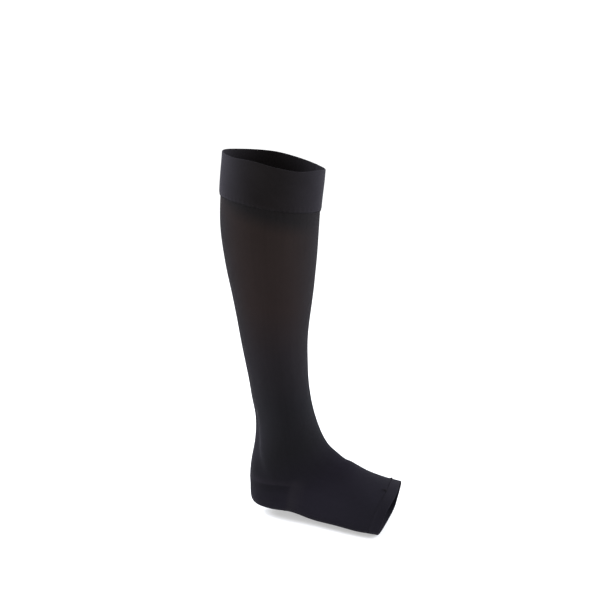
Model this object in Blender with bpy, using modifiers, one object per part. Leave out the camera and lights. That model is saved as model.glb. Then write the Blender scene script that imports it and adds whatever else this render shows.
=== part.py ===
"""Compression stocking: knee-high, open at the toes, in the form that it has when worn.

Run with: blender --background --python part.py
The script makes three pieces of cloth as thin closed walls: the leg and foot (one circular-knit
tube with its heel knitted in), the elastic band at the top end and the hem round the toe opening.

Units are metres, +Z is up, the toes point along +X and the inner side of this right leg is +Y.
The origin is the centre of the top opening, where the wearer's leg holds the stocking up.
"""
import math

import bmesh
import bpy

MM = 0.001

# Driving sizes, in metres.
TOP_BAND_HEIGHT = 0.050      # the elastic band at the top end
TOP_BAND_LAP = 0.006         # how far the leg's top edge runs up inside the band
TOP_BAND_WALL = 0.0012       # two layers of thin elastic knit
TOE_BAND_WIDTH = 0.012       # the hem round the toe opening
TOE_BAND_WALL = 0.0016       # the edge turned in and sewn
TOE_BAND_PROUD = 0.0004      # how far the hem stands out from the foot
KNIT_WALL = 0.0012           # one layer of compression knit
SEAM_GAP = 0.0003            # between two pieces at a seam

# How finely the tubes are divided.
POINTS_ROUND = 48
LEG_RINGS = 52
TOP_BAND_RINGS = 7
TOE_BAND_RINGS = 5

# The form of the stocking, one row for each section, from the top edge to the toe opening.
# A section is a slanted ring that runs from a back point to a front point: on the foot these are
# the sole and the instep. The table is in millimetres, x from the back of the heel and z from
# the ground; the form is that of a general leg with the heel a little off the ground.
#   back_x, back_z    the back point, then the sole point
#   front_x, front_z  the front point, then the instep point
#   width             across, from the inner to the outer side
#   side              how far the section's middle lies towards the inner side
#   crest             how far the front point is shifted to the inner side against the back point
#   widest            where the section is widest, as a part of the way from back to front
#   back_round,       how square the two ends are: 2 is an ellipse, more is
#   front_round       flatter, as on the sole, and less is narrower, as above the heel
#   skew              how far the inner side runs ahead of the outer side, along the tube
COLUMNS = ("back_x", "back_z", "front_x", "front_z", "width", "side",
           "crest", "widest", "back_round", "front_round", "skew")
SECTIONS = (
    # name                 back x, z      front x, z    width side crest widest  round b, f  skew
    ("top edge",         -27.0, 448.0,   92.0, 428.0,    112,   0,   0,   0.48,  2.05, 1.95,   6),
    ("under the band",   -31.0, 397.0,   87.5, 379.0,    111,   0,   0,   0.47,  2.10, 1.95,   5),
    ("calf",             -31.5, 358.0,   85.5, 345.0,    108,   0,   0,   0.46,  2.10, 1.90,   3),
    ("lower calf",       -26.5, 316.0,   82.5, 306.0,    100,   0,   0,   0.47,  2.10, 1.90,   2),
    ("top of the shin",  -17.5, 270.0,   78.0, 266.0,     87,   0,   0,   0.48,  2.05, 1.90,   0),
    ("shin",              -9.5, 222.0,   73.0, 223.0,     74,   0,   0,   0.50,  1.95, 1.95,   0),
    ("above the ankle",   -3.0, 185.0,   73.0, 191.0,     66,   0,   0,   0.52,  1.90, 2.00,   0),
    ("ankle",              3.0, 154.0,   74.5, 165.0,     61,   0,   0,   0.54,  1.85, 2.00,   0),
    ("tendon",             8.0, 122.0,   78.0, 142.0,     61,   0,   0,   0.55,  1.80, 2.00,   0),
    ("bend",               7.5,  93.0,   83.5, 121.0,     64,   0,   1,   0.53,  1.80, 2.00,   0),
    ("over the heel",      3.5,  64.0,   91.5, 100.5,     66,   0,   2,   0.47,  1.95, 2.00,   0),
    ("heel",               2.5,  38.0,   99.5,  88.5,     66,  -1,   3,   0.41,  2.10, 2.00,   0),
    ("heel turn",          7.0,  14.5,  110.0,  80.0,     65,  -2,   4,   0.37,  2.20, 2.00,   0),
    ("under the heel",    28.0,   8.0,  120.0,  73.0,     66,  -4,   5,   0.34,  2.40, 2.00,   0),
    ("arch",              57.0,   7.5,  129.0,  69.5,     71,  -6,   7,   0.33,  2.60, 2.00,   0),
    ("middle of foot",    87.0,   3.0,  138.0,  65.0,     79,  -9,   9,   0.33,  2.80, 2.00,   1),
    ("instep",           117.0,   2.0,  149.0,  59.5,     87, -12,  11,   0.33,  3.00, 2.00,   1),
    ("ball of foot",     146.0,   0.0,  165.0,  54.0,     93, -15,  14,   0.34,  3.00, 2.00,   2),
    ("toe edge",         175.0,   0.0,  188.0,  49.0,     96, -17,  15,   0.35,  3.00, 2.00,   2),
)

# The two open edges aren't cut quite level: each is a few soft bumps along the tube. A row is one
# bump: its place in turns from the front over the inner side, its shift down the tube in
# millimetres, and its half width in turns.
TOP_EDGE_BUMPS = (
    # place, shift, half width
    (0.725, -2.2, 0.055),
    (0.860, 1.3, 0.045),
    (0.955, -1.5, 0.045),
    (0.110, 1.0, 0.060),
    (0.270, -1.6, 0.070),
    (0.420, 0.8, 0.060),
)
TOE_EDGE_BUMPS = (
    (0.930, 4.0, 0.080),
    (0.620, -0.8, 0.080),
    (0.330, 0.9, 0.090),
)
TOP_EDGE_REACH = 0.045       # length of tube over which each edge's bumps die out
TOE_EDGE_REACH = 0.022

# The finish of each piece: colour in linear light, roughness, metallic value.
FINISHES = {
    "leg_and_foot": ((0.012, 0.011, 0.013), 0.85, 0.0),
    "top_band": ((0.016, 0.015, 0.018), 0.90, 0.0),
    "toe_band": ((0.014, 0.013, 0.016), 0.88, 0.0),
}


def section_rows():
    """The table as dictionaries: lengths in metres, places measured from the top opening."""
    rows = [dict(zip(COLUMNS, row[1:])) for row in SECTIONS]
    top = rows[0]
    origin_x = (top["back_x"] + top["front_x"]) / 2
    origin_z = (top["back_z"] + top["front_z"]) / 2
    for row in rows:
        for end in ("back", "front"):
            row[end + "_x"] = (row[end + "_x"] - origin_x) * MM
            row[end + "_z"] = (row[end + "_z"] - origin_z) * MM
        for column in ("width", "side", "crest", "skew"):
            row[column] *= MM
    return rows


def distances_along(rows):
    """How far each section lies along the tube: the mean of the way on its back and its front."""
    distances = [0.0]
    for upper, lower in zip(rows, rows[1:]):
        back = math.hypot(lower["back_x"] - upper["back_x"], lower["back_z"] - upper["back_z"])
        front = math.hypot(lower["front_x"] - upper["front_x"], lower["front_z"] - upper["front_z"])
        distances.append(distances[-1] + (back + front) / 2)
    return distances


ROWS = section_rows()
DISTANCES = distances_along(ROWS)
LENGTH = DISTANCES[-1]


def slope_at(index, column):
    """How fast a column changes along the tube at one row, from the rows on both sides."""
    def slope(first):
        step = DISTANCES[first + 1] - DISTANCES[first]
        return (ROWS[first + 1][column] - ROWS[first][column]) / step

    if index == 0:
        return slope(0)
    if index == len(ROWS) - 1:
        return slope(index - 1)
    before = DISTANCES[index] - DISTANCES[index - 1]
    after = DISTANCES[index + 1] - DISTANCES[index]
    return (slope(index - 1) * after + slope(index) * before) / (before + after)


def section_at(distance):
    """The section at any distance along the tube, on smooth curves through the table's rows."""
    last = len(ROWS) - 2
    index = next((i for i in range(last) if distance < DISTANCES[i + 1]), last)
    step = DISTANCES[index + 1] - DISTANCES[index]
    t = (distance - DISTANCES[index]) / step
    section = {}
    for column in COLUMNS:
        start, end = ROWS[index][column], ROWS[index + 1][column]
        rise_start = slope_at(index, column) * step
        rise_end = slope_at(index + 1, column) * step
        section[column] = (start * (2 * t**3 - 3 * t**2 + 1) + rise_start * (t**3 - 2 * t**2 + t)
                           + end * (3 * t**2 - 2 * t**3) + rise_end * (t**3 - t**2))
    return section


def signed_power(value, power):
    return math.copysign(abs(value) ** power, value)


def eased(value):
    """0 below 0, 1 above 1, smooth between."""
    value = min(max(value, 0.0), 1.0)
    return value * value * (3 - 2 * value)


def bumps_at(bumps, turn):
    """The shift of an edge at one place round the tube, in metres."""
    shift = 0.0
    for place, height, half_width in bumps:
        apart = (turn - place + 0.5) % 1.0 - 0.5
        shift += height * MM * math.exp(-(apart / half_width) ** 2)
    return shift


def shifted(distance, turn):
    """A distance along the tube with the bumps of the nearer open edge added."""
    top_share = 1 - eased(distance / TOP_EDGE_REACH)
    toe_share = eased((distance - LENGTH + TOE_EDGE_REACH) / TOE_EDGE_REACH)
    return (distance + top_share * bumps_at(TOP_EDGE_BUMPS, turn)
            + toe_share * bumps_at(TOE_EDGE_BUMPS, turn))


def surface_point(distance, turn, outward):
    """A point of the stocking: turn counts from the front over the inner side and the back."""
    section = section_at(shifted(distance, turn))
    across_x = section["front_x"] - section["back_x"]
    across_z = section["front_z"] - section["back_z"]
    depth = math.hypot(across_x, across_z)
    across_x, across_z = across_x / depth, across_z / depth
    along_x, along_z = across_z, -across_x
    towards_front, towards_inner = math.cos(2 * math.pi * turn), math.sin(2 * math.pi * turn)
    blend = (1 + towards_front) / 2
    power = 2 / (section["front_round"] * blend + section["back_round"] * (1 - blend))
    reach = signed_power(towards_front, power)
    spread = signed_power(towards_inner, power)
    room = 1 - section["widest"] if reach > 0 else section["widest"]
    place = depth * (section["widest"] + room * reach) + outward * reach
    ahead = section["skew"] * spread / 2
    return (
        section["back_x"] + across_x * place + along_x * ahead,
        section["side"] + (section["width"] / 2 + outward) * spread
        + section["crest"] * room * reach,
        section["back_z"] + across_z * place + along_z * ahead,
    )


def ring(distance, outward):
    """The points of one ring, from the front over the inner side to the back and the outer side.

    outward moves the ring out from the stocking's own surface, for a piece that lies over it.
    """
    return [surface_point(distance, step / POINTS_ROUND, outward) for step in range(POINTS_ROUND)]


def material(name):
    colour, roughness, metallic = FINISHES[name]
    finish = bpy.data.materials.new(name)
    finish.use_nodes = True
    shader = finish.node_tree.nodes["Principled BSDF"]
    shader.inputs["Base Color"].default_value = (*colour, 1.0)
    shader.inputs["Roughness"].default_value = roughness
    shader.inputs["Metallic"].default_value = metallic
    finish.diffuse_color = (*colour, 1.0)
    return finish


def tube(name, start, end, rings, wall, outward, collection):
    """A stretch of the stocking as a wall: rings joined by faces, thickened to the inside."""
    mesh = bpy.data.meshes.new(name)
    shape = bmesh.new()
    loops = []
    for step in range(rings):
        distance = start + (end - start) * step / (rings - 1)
        loops.append([shape.verts.new(point) for point in ring(distance, outward)])
    for upper, lower in zip(loops, loops[1:]):
        for here in range(POINTS_ROUND):
            after = (here + 1) % POINTS_ROUND
            shape.faces.new((upper[here], lower[here], lower[after], upper[after]))
    shape.to_mesh(mesh)
    shape.free()
    mesh.shade_smooth()
    mesh.materials.append(material(name))

    piece = bpy.data.objects.new(name, mesh)
    collection.objects.link(piece)
    thickness = piece.modifiers.new("wall", "SOLIDIFY")
    thickness.thickness = wall
    thickness.offset = -1
    thickness.use_even_offset = True
    thickness.use_quality_normals = True
    return piece


def build():
    for leftover in list(bpy.data.objects):
        bpy.data.objects.remove(leftover, do_unlink=True)
    stocking = bpy.data.collections.new("compression_stocking")
    bpy.context.scene.collection.children.link(stocking)

    toe_seam = LENGTH - TOE_BAND_WIDTH
    tube("leg_and_foot", start=TOP_BAND_HEIGHT - TOP_BAND_LAP, end=toe_seam - SEAM_GAP,
         rings=LEG_RINGS, wall=KNIT_WALL, outward=0.0, collection=stocking)
    tube("top_band", start=0.0, end=TOP_BAND_HEIGHT,
         rings=TOP_BAND_RINGS, wall=TOP_BAND_WALL, outward=SEAM_GAP + TOP_BAND_WALL,
         collection=stocking)
    tube("toe_band", start=toe_seam, end=LENGTH,
         rings=TOE_BAND_RINGS, wall=TOE_BAND_WALL, outward=TOE_BAND_PROUD, collection=stocking)


build()
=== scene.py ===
# %% [markdown]
# # A compression stocking, empty, in the form that it has when worn
#
# The stocking is circular-knit cloth: one tube from the calf to the toes with its heel knitted in, a
# wide elastic band sewn to its top edge and a narrow hem round the open toes. Nothing in it is hard,
# so all that the eye reads is the outline, the soft sheen of black yarn, and the sewing.
#
# The packed frame holds three plain tubes of the right size. This lesson makes the cloth that is
# seen on the same form: walls with round lips, seams with real stitches, and a knit that follows the
# tube. The first step is to load the frame and keep its box, which the finished cloth has to fit.

# %% Load the frame
import math

import bmesh
import bpy
import numpy as np
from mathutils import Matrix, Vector


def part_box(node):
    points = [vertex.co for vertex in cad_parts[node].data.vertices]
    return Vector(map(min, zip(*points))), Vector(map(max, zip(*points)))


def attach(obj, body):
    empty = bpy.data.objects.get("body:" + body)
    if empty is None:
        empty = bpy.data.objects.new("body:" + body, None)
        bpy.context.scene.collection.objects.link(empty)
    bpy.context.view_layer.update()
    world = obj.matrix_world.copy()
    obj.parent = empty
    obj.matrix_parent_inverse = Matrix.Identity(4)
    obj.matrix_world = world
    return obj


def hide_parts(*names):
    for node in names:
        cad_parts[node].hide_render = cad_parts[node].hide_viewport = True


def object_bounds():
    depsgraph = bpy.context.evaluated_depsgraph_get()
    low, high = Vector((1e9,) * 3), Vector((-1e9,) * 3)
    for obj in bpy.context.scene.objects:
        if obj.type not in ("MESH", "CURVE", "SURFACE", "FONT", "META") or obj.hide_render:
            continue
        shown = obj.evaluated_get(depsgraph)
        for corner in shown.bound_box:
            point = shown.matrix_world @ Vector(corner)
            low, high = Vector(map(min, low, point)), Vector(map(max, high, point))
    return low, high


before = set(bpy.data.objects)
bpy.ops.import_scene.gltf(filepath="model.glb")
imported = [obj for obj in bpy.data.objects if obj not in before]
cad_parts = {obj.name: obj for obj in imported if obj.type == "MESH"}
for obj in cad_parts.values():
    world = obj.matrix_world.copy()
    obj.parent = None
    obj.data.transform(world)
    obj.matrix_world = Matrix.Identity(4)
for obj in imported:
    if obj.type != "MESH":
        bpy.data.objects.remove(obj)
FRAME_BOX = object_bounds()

MM = 0.001
BODY = "root"
print("nodes in the frame:", sorted(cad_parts))
print("box of the frame, low and high corner, in metres:", FRAME_BOX)

# %% [markdown]
# ## The form
#
# A knitter shapes a stocking by its girths at a row of measuring places. The form here is kept the
# same way: one row for each section from the top edge to the toes, and smooth curves through the
# rows. The frame's tubes were lofted from these rows, and repeating them gives what a copied mesh
# doesn't: any point of the cloth can be asked for by how far it lies **along** the tube and how far
# **around** it, which is also what the knit, the seams and the stitches are laid out by.
#
# A section is a slanted ring. It runs from a back point to a front point, which on the foot are the
# sole and the instep. Lengths are in millimetres, x from the back of the heel and z from the ground.

# %% The sections, as in the frame
COLUMNS = ("back_x", "back_z", "front_x", "front_z", "width", "side",
           "crest", "widest", "back_round", "front_round", "skew")
SECTIONS = (
    # name                 back x, z      front x, z    width side crest widest  round b, f  skew
    ("top edge",         -27.0, 448.0,   92.0, 428.0,    112,   0,   0,   0.48,  2.05, 1.95,   6),
    ("under the band",   -31.0, 397.0,   87.5, 379.0,    111,   0,   0,   0.47,  2.10, 1.95,   5),
    ("calf",             -31.5, 358.0,   85.5, 345.0,    108,   0,   0,   0.46,  2.10, 1.90,   3),
    ("lower calf",       -26.5, 316.0,   82.5, 306.0,    100,   0,   0,   0.47,  2.10, 1.90,   2),
    ("top of the shin",  -17.5, 270.0,   78.0, 266.0,     87,   0,   0,   0.48,  2.05, 1.90,   0),
    ("shin",              -9.5, 222.0,   73.0, 223.0,     74,   0,   0,   0.50,  1.95, 1.95,   0),
    ("above the ankle",   -3.0, 185.0,   73.0, 191.0,     66,   0,   0,   0.52,  1.90, 2.00,   0),
    ("ankle",              3.0, 154.0,   74.5, 165.0,     61,   0,   0,   0.54,  1.85, 2.00,   0),
    ("tendon",             8.0, 122.0,   78.0, 142.0,     61,   0,   0,   0.55,  1.80, 2.00,   0),
    ("bend",               7.5,  93.0,   83.5, 121.0,     64,   0,   1,   0.53,  1.80, 2.00,   0),
    ("over the heel",      3.5,  64.0,   91.5, 100.5,     66,   0,   2,   0.47,  1.95, 2.00,   0),
    ("heel",               2.5,  38.0,   99.5,  88.5,     66,  -1,   3,   0.41,  2.10, 2.00,   0),
    ("heel turn",          7.0,  14.5,  110.0,  80.0,     65,  -2,   4,   0.37,  2.20, 2.00,   0),
    ("under the heel",    28.0,   8.0,  120.0,  73.0,     66,  -4,   5,   0.34,  2.40, 2.00,   0),
    ("arch",              57.0,   7.5,  129.0,  69.5,     71,  -6,   7,   0.33,  2.60, 2.00,   0),
    ("middle of foot",    87.0,   3.0,  138.0,  65.0,     79,  -9,   9,   0.33,  2.80, 2.00,   1),
    ("instep",           117.0,   2.0,  149.0,  59.5,     87, -12,  11,   0.33,  3.00, 2.00,   1),
    ("ball of foot",     146.0,   0.0,  165.0,  54.0,     93, -15,  14,   0.34,  3.00, 2.00,   2),
    ("toe edge",         175.0,   0.0,  188.0,  49.0,     96, -17,  15,   0.35,  3.00, 2.00,   2),
)
LENGTHS = ("back_x", "back_z", "front_x", "front_z", "width", "side", "crest", "skew")

# The two open edges aren't cut quite level. Each row is one soft bump of an edge: its place in
# turns, its shift down the tube in mm, and its half width in turns.
TOP_EDGE_WAVES = ((0.725, -2.2, 0.055), (0.860, 1.3, 0.045), (0.955, -1.5, 0.045),
                  (0.110, 1.0, 0.060), (0.270, -1.6, 0.070), (0.420, 0.8, 0.060))
TOE_EDGE_WAVES = ((0.930, 4.0, 0.080), (0.620, -0.8, 0.080), (0.330, 0.9, 0.090))
TOP_WAVE_REACH = 45.0      # mm of tube over which each wave dies out
TOE_WAVE_REACH = 22.0

form = {column: np.array([row[1 + i] for row in SECTIONS], float)
        for i, column in enumerate(COLUMNS)}
origin_x = (form["back_x"][0] + form["front_x"][0]) / 2
origin_z = (form["back_z"][0] + form["front_z"][0]) / 2
for column, origin in (("back_x", origin_x), ("front_x", origin_x),
                       ("back_z", origin_z), ("front_z", origin_z)):
    form[column] -= origin
for column in LENGTHS:
    form[column] *= MM


def step_lengths(end):
    return np.hypot(np.diff(form[end + "_x"]), np.diff(form[end + "_z"]))


STATIONS = np.concatenate(([0.0], np.cumsum((step_lengths("back") + step_lengths("front")) / 2)))
LENGTH = STATIONS[-1]
for column, values in list(form.items()):
    rises = np.diff(values) / np.diff(STATIONS)
    before, after = np.diff(STATIONS)[:-1], np.diff(STATIONS)[1:]
    inner = (rises[:-1] * after + rises[1:] * before) / (before + after)
    form[column + "_slope"] = np.concatenate((rises[:1], inner, rises[-1:]))
print(f"{len(SECTIONS)} sections along {LENGTH / MM:.0f} mm of tube")


# %% Any point of the cloth
def section_at(along):
    """Every column of the table at the distances `along`, on smooth curves through its rows."""
    index = np.clip(np.searchsorted(STATIONS, along, side="right") - 1, 0, len(STATIONS) - 2)
    step = STATIONS[index + 1] - STATIONS[index]
    t = (along - STATIONS[index]) / step
    here = {}
    for column in COLUMNS:
        values, slopes = form[column], form[column + "_slope"]
        here[column] = (values[index] * (2 * t**3 - 3 * t**2 + 1)
                        + slopes[index] * step * (t**3 - 2 * t**2 + t)
                        + values[index + 1] * (3 * t**2 - 2 * t**3)
                        + slopes[index + 1] * step * (t**3 - t**2))
    return here


def eased(value, start, end):
    """0 before `start`, 1 after `end`, smooth between."""
    t = np.clip((value - start) / (end - start), 0, 1)
    return t * t * (3 - 2 * t)


def bell(value, half_width):
    return np.exp(-(value / half_width) ** 2)


def edge_wave(along, around):
    """How far the waves of the open edges shift each point down the tube."""
    def bumps(rows):
        return sum(shift * MM * bell((around - place + 0.5) % 1 - 0.5, half_width)
                   for place, shift, half_width in rows)

    return (bumps(TOP_EDGE_WAVES) * (1 - eased(along, 0, TOP_WAVE_REACH * MM))
            + bumps(TOE_EDGE_WAVES) * eased(along, LENGTH - TOE_WAVE_REACH * MM, LENGTH))


def form_point(along, around):
    """Points on the form: `along` in metres from the top edge, `around` in turns from the front
    over the inner side (a quarter turn) and the back to the outer side."""
    along, around = np.broadcast_arrays(np.asarray(along, float), np.asarray(around, float))
    along = along + edge_wave(along, around)
    s = section_at(along)
    across_x, across_z = s["front_x"] - s["back_x"], s["front_z"] - s["back_z"]
    depth = np.hypot(across_x, across_z)
    across_x, across_z = across_x / depth, across_z / depth
    towards_front, towards_inner = np.cos(2 * np.pi * around), np.sin(2 * np.pi * around)
    blend = (1 + towards_front) / 2
    power = 2 / (s["front_round"] * blend + s["back_round"] * (1 - blend))
    reach = np.sign(towards_front) * np.abs(towards_front) ** power
    spread = np.sign(towards_inner) * np.abs(towards_inner) ** power
    room = np.where(reach > 0, 1 - s["widest"], s["widest"])
    place = depth * (s["widest"] + room * reach)
    ahead = s["skew"] * spread / 2
    return np.stack((s["back_x"] + across_x * place + across_z * ahead,
                     s["side"] + s["width"] / 2 * spread + s["crest"] * room * reach,
                     s["back_z"] + across_z * place - across_x * ahead), axis=-1)


def unit(vectors):
    return vectors / np.linalg.norm(vectors, axis=-1, keepdims=True)


def directions(along, around, nudge=1.5 * MM, nudge_turn=0.004):
    """At each point: down the tube, round it, and straight out of the cloth."""
    down = unit(form_point(along + nudge, around) - form_point(along - nudge, around))
    round_it = unit(form_point(along, around + nudge_turn) - form_point(along, around - nudge_turn))
    return down, round_it, unit(np.cross(down, round_it))


def girth_at(along, steps=180):
    ring = form_point(along, np.linspace(0, 1, steps + 1))
    return np.linalg.norm(np.diff(ring, axis=0), axis=-1).sum()


girths = {row[0]: round(girth_at(station) / MM) for row, station in zip(SECTIONS, STATIONS)}
print("girths in mm:", girths)
print("on the outer calf, out of the cloth is", np.round(directions(0.1, 0.75)[2], 2))

# %% [markdown]
# ## The floor, the light and the camera
#
# Black yarn sends back one or two parts in a hundred of the light, so a black stocking is seen by
# its sheen and by what stands behind it. Two large soft lamps draw the pale line down each edge: one
# stands level with it on the heel's side, the other behind it on the side of the toes. With none in
# front the middle stays dark.
#
# The floor is a light table, and the world is white. Blender's standard view transform keeps them
# so, where the filmic ones would turn them grey and lift the blacks.

# %% Floor
FLOOR_SIZE = 60.0                # metres, to reach past every edge of the view
FLOOR_GAP = 0.3 * MM             # under the sole
floor_level = FRAME_BOX[0].z - FLOOR_GAP


def link(thing):
    bpy.context.scene.collection.objects.link(thing)
    return thing


floor_mesh = bpy.data.meshes.new("floor")
half = FLOOR_SIZE / 2
corners = ((-half, -half), (half, -half), (half, half), (-half, half))
floor_mesh.from_pydata([(x, y, floor_level) for x, y in corners], [], [(0, 1, 2, 3)])
floor = link(bpy.data.objects.new("floor", floor_mesh))
print(f"floor at {floor_level / MM:.1f} mm, under the sole")

# %% Camera
CAMERA_TURN = math.radians(15)   # from the stocking's outer side towards its toes
CAMERA_AWAY = 1.80
CAMERA_HEIGHT = 0.741            # over the ground
TURNING_POINT = Vector((0.0015, 0, 0))
CAMERA_AIM = Vector((0.0315, 0, -0.168))
PICTURE_PIXELS = 600
FOCAL_PIXELS = 1551
SENSOR_MM = 36.0

camera_data = bpy.data.cameras.new("camera")
camera_data.sensor_width = SENSOR_MM
camera_data.lens = SENSOR_MM * FOCAL_PIXELS / PICTURE_PIXELS
camera_data.clip_end = 2 * FLOOR_SIZE
camera = link(bpy.data.objects.new("camera", camera_data))
towards_camera = Vector((math.sin(CAMERA_TURN), -math.cos(CAMERA_TURN), 0))
camera.location = TURNING_POINT + CAMERA_AWAY * towards_camera
camera.location.z = -origin_z * MM + CAMERA_HEIGHT
camera.rotation_euler = (CAMERA_AIM - camera.location).to_track_quat("-Z", "Y").to_euler()
bpy.context.scene.camera = camera
print(f"{camera_data.lens:.1f} mm lens at", [round(value, 3) for value in camera.location])

# %% Light
LAMPS = (
    # name, place, aim, size in metres, watts
    ("left",  (-1.06, 0.02, 0.44), (0.0, 0.0, -0.02), 0.7, 31),
    ("right", (1.15, 0.47, 0.08), (0.0, 0.0, -0.10), 0.7, 24),
)
LAMP_COLOUR = (0.86, 0.90, 1.0)
WORLD_WHITE = (1.0, 1.0, 1.0, 1.0)
WORLD_STRENGTH = 1.12


def soft_lamp(name, place, aim, size, watts):
    data = bpy.data.lights.new(name, "AREA")
    data.shape = "SQUARE"
    data.size = size
    data.energy = watts
    data.color = LAMP_COLOUR
    lamp = link(bpy.data.objects.new(name, data))
    lamp.location = place
    lamp.rotation_euler = (Vector(aim) - Vector(place)).to_track_quat("-Z", "Y").to_euler()


for lamp_row in LAMPS:
    soft_lamp(*lamp_row)
world = bpy.data.worlds.new("studio")
world.use_nodes = True
backdrop = world.node_tree.nodes["Background"]
backdrop.inputs["Color"].default_value = WORLD_WHITE
backdrop.inputs["Strength"].default_value = WORLD_STRENGTH
bpy.context.scene.world = world
bpy.context.scene.view_settings.view_transform = "Standard"
print(len(LAMPS), "side lamps and a white world of strength", WORLD_STRENGTH)

# %% [markdown]
# ## Shader maths
#
# A material here is a small sum: where in the knit am I, how high is the yarn there, how much light
# does it send back? Written as nodes wired one by one such a sum can't be read, so a small class
# wraps an output socket and lets Python's operators add the Math nodes. Numbers that are the same
# all over a surface are set on the shader's own sockets.

# %% Wires
class Wire:
    """An output socket of a node tree. Sums on wires add Math nodes to the tree."""

    def __init__(self, socket):
        self.socket = socket

    @staticmethod
    def add(tree, kind, settings=None, sockets=None, output=0):
        """Adds a node: its settings first, then values or wires for its input sockets."""
        made = tree.nodes.new(kind)
        for name, value in (settings or {}).items():
            setattr(made, name, value)
        for key, value in (sockets or {}).items():
            if isinstance(value, Wire):
                tree.links.new(value.socket, made.inputs[key])
            else:
                made.inputs[key].default_value = value
        return Wire(made.outputs[output])

    def node(self, kind, settings=None, sockets=None, output=0):
        return Wire.add(self.socket.id_data, kind, settings, sockets, output)

    def math(self, operation, *values):
        return self.node("ShaderNodeMath", {"operation": operation}, dict(enumerate(values)))

    def __add__(self, other):
        return self.math("ADD", self, other)

    def __sub__(self, other):
        return self.math("SUBTRACT", self, other)

    def __rsub__(self, other):
        return self.math("SUBTRACT", other, self)

    def __mul__(self, other):
        return self.math("MULTIPLY", self, other)

    def __truediv__(self, other):
        return self.math("DIVIDE", self, other)

    __radd__ = __add__
    __rmul__ = __mul__

    def part_of_one(self):
        return self.math("FRACT", self)

    def size(self):
        return self.math("ABSOLUTE", self)

    def wave(self):
        """0 to 1 and back once for each whole number."""
        return 0.5 - 0.5 * self.math("COSINE", self * (2 * math.pi))

    def ramp(self, start, end):
        """0 before `start`, 1 after `end`, and smooth between; backwards if start > end."""
        low, high = min(start, end), max(start, end)
        rise = self.node("ShaderNodeMapRange", {"interpolation_type": "SMOOTHSTEP"},
                         {"Value": self, "From Min": low, "From Max": high})
        return rise if start < end else 1 - rise

    def between(self, start, full, fading, end):
        """1 from `full` to `fading`, and 0 before `start` and after `end`."""
        return self.ramp(start, full) * self.ramp(end, fading)

    def blend(self, low, high):
        """The colour `low` where this wire is 0 and `high` where it is 1."""
        return self.node("ShaderNodeMix", {"data_type": "RGBA"},
                         {0: self, 6: low, 7: high}, output=2)

    def shaded(self, share):
        """This colour times a number or wire."""
        return self.node("ShaderNodeVectorMath", {"operation": "SCALE"},
                         {0: self, "Scale": share})

    def noise(self, scale, detail, dimensions="3D"):
        """Cloudy noise from 0 to 1, read at the place on this wire."""
        return self.node("ShaderNodeTexNoise", {"noise_dimensions": dimensions},
                         {"Vector": self, "Scale": scale, "Detail": detail})

    def tones(self, stops):
        """A colour that follows rows of (value, colour)."""
        first, span = stops[0][0], stops[-1][0] - stops[0][0]
        colour = self.node("ShaderNodeValToRGB", {}, {0: (self - first) / span})
        marks = colour.socket.node.color_ramp.elements
        for value, tone in stops[1:-1]:
            marks.new((value - first) / span).color = tone
        marks[0].color, marks[-1].color = stops[0][1], stops[-1][1]
        return colour


print("a wire has", [name for name in vars(Wire) if not name.startswith("_")])

# %% [markdown]
# ## The knits
#
# The leg is plain jersey: each needle of the knitting cylinder makes one upright column of loops, a
# **wale**, and each turn of the cylinder one **course**. Every loop shows as a V, two slanting legs
# of yarn. The number of wales is the same from the calf to the toes, so the columns stand closer
# together where the stocking is narrow, and that comes by itself when the pattern is laid out by
# turns round the tube and distance along it. Those two numbers are kept as a UV map named `knit`.
#
# The band and the hem are closer: upright ribs, crossed by rows of rubber yarn that is wound with
# black.
#
# The black isn't one colour. Over the sides of the calf the cloth is stretched thinnest, and some
# warm brown shows through; down its front and back the black is colder, with painted shade behind.
# The denser foot is colder still. Over the heel tendon and beside the heel pocket the yarn is made
# a little paler as painted highlights. So the yarn's colour follows a row of tones along the tube,
# and the tones of these places are blended over it.

# %% Yarn colours and gauges
def rgb(red, green, blue):
    return (red, green, blue, 1.0)


def grey(share):
    return rgb(share, share, share)


KNIT_MAP = "knit"
WALES = 400                                    # round the tube
COURSES_PER_METRE = 1400
BAND_RIBS = 300                                # round the tube
BAND_ROWS_PER_METRE = 900
JERSEY_TONES = (
    # metres along the tube, colour of the yarn
    (0.042, rgb(0.0126, 0.0113, 0.0118)),      # under the band
    (0.060, rgb(0.0240, 0.0174, 0.0162)),      # calf
    (0.170, rgb(0.0246, 0.0176, 0.0172)),
    (0.235, rgb(0.0184, 0.0158, 0.0184)),      # shin
    (0.300, rgb(0.0134, 0.0128, 0.0152)),      # ankle
    (0.360, rgb(0.0118, 0.0114, 0.0134)),
    (0.420, rgb(0.0134, 0.0118, 0.0176)),      # foot
    (0.520, rgb(0.0132, 0.0122, 0.0172)),
)
SHIN_YARN = rgb(0.0158, 0.0141, 0.0158)        # front of the calf
# painted shade: the back of the calf is darkened in the yarn's colour
CALF_BACK_PAINTED_SHADE = rgb(0.0086, 0.0083, 0.0098)   # back of the calf
# painted highlight over the heel tendon
TENDON_PAINTED_HIGHLIGHT = rgb(0.0180, 0.0169, 0.0213)      # over the heel tendon
# painted light beside the heel pocket's edges
POCKET_RIM_PAINTED_LIGHT = rgb(0.0180, 0.0159, 0.0208)  # beside the heel pocket
BAND_YARN = rgb(0.0130, 0.0110, 0.0113)        # sides of the band
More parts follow.
